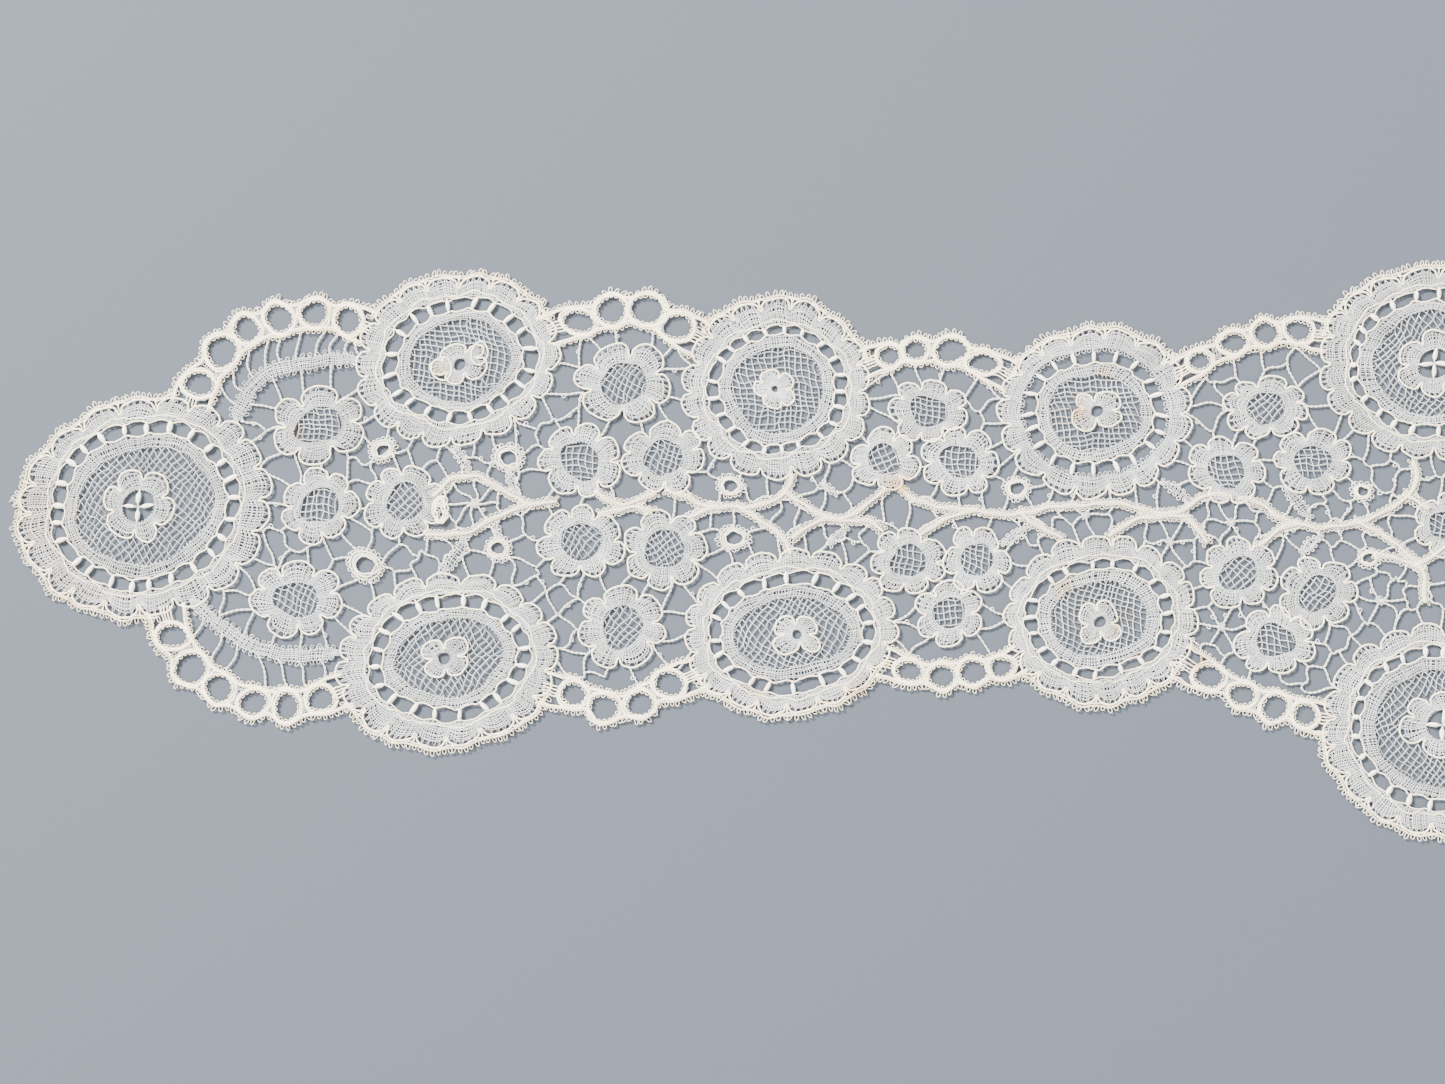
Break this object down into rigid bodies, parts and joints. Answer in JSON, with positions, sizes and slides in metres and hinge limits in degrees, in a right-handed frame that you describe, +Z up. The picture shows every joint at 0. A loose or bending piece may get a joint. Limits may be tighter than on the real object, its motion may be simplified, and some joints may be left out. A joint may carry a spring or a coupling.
{
  "type": "bobbin lace lappet",
  "caption": "Flat lappet of openwork part lace: scalloped medallions and small flowers joined by a branching stem and a ground of plaits, with a straight cut end.",
  "frame": {"origin": "bottom centre of the bounding box, on the surface that the lace lies on", "axes": "+X along the lappet towards its straight heading, +Y across it towards the upper edge as it is seen from above, +Z up out of the lace's face"},
  "size_m": [0.3112, 0.114, 0.001],
  "materials": {
    "cloth_stitch": "matte fine thread",
    "cream_braid": "matte fine thread",
    "plait_ground": "matte fine thread"
  },
  "bodies": {
    "root": {"arc_band_1": "cloth_stitch", "arc_band_2": "cloth_stitch", "edge_band_1": "cream_braid", "edge_band_2": "cream_braid", "edge_band_3": "cream_braid", "edge_band_4": "cream_braid", "edge_band_5": "cream_braid", "edge_band_6": "cream_braid", "edge_band_7": "cream_braid", "edge_band_8": "cream_braid", "flower_01": "cloth_stitch", "flower_02": "cloth_stitch", "flower_03": "cloth_stitch", "flower_04": "cloth_stitch", "flower_05": "cloth_stitch", "flower_06": "cloth_stitch", "flower_07": "cloth_stitch", "flower_08": "cloth_stitch", "flower_09": "cloth_stitch", "flower_10": "cloth_stitch", "flower_11": "cloth_stitch", "flower_12": "cloth_stitch", "flower_13": "cloth_stitch", "flower_14": "cloth_stitch", "flower_15": "cloth_stitch", "flower_16": "cloth_stitch", "flower_17": "cloth_stitch", "flower_18": "cloth_stitch", "flower_19": "cloth_stitch", "flower_20": "cloth_stitch", "flower_21": "cloth_stitch", "flower_22": "cloth_stitch", "flower_23": "cloth_stitch", "heading": "cloth_stitch", "medallion_1": "cloth_stitch", "medallion_2": "cloth_stitch", "medallion_3": "cloth_stitch", "medallion_4": "cloth_stitch", "medallion_5": "cloth_stitch", "medallion_6": "cloth_stitch", "medallion_7": "cloth_stitch", "medallion_8": "cloth_stitch", "medallion_9": "cloth_stitch", "plait_ground": "plait_ground", "small_ring_1": "cream_braid", "small_ring_2": "cream_braid", "small_ring_3": "cream_braid", "small_ring_4": "cream_braid", "small_ring_5": "cream_braid", "small_ring_6": "cream_braid", "small_ring_7": "cream_braid", "small_ring_8": "cream_braid", "small_ring_9": "cream_braid", "stem_1": "cream_braid", "stem_2": "cream_braid", "stem_3": "cream_braid", "stem_4": "cream_braid", "stem_5": "cream_braid"}
  },
  "joints": []
}
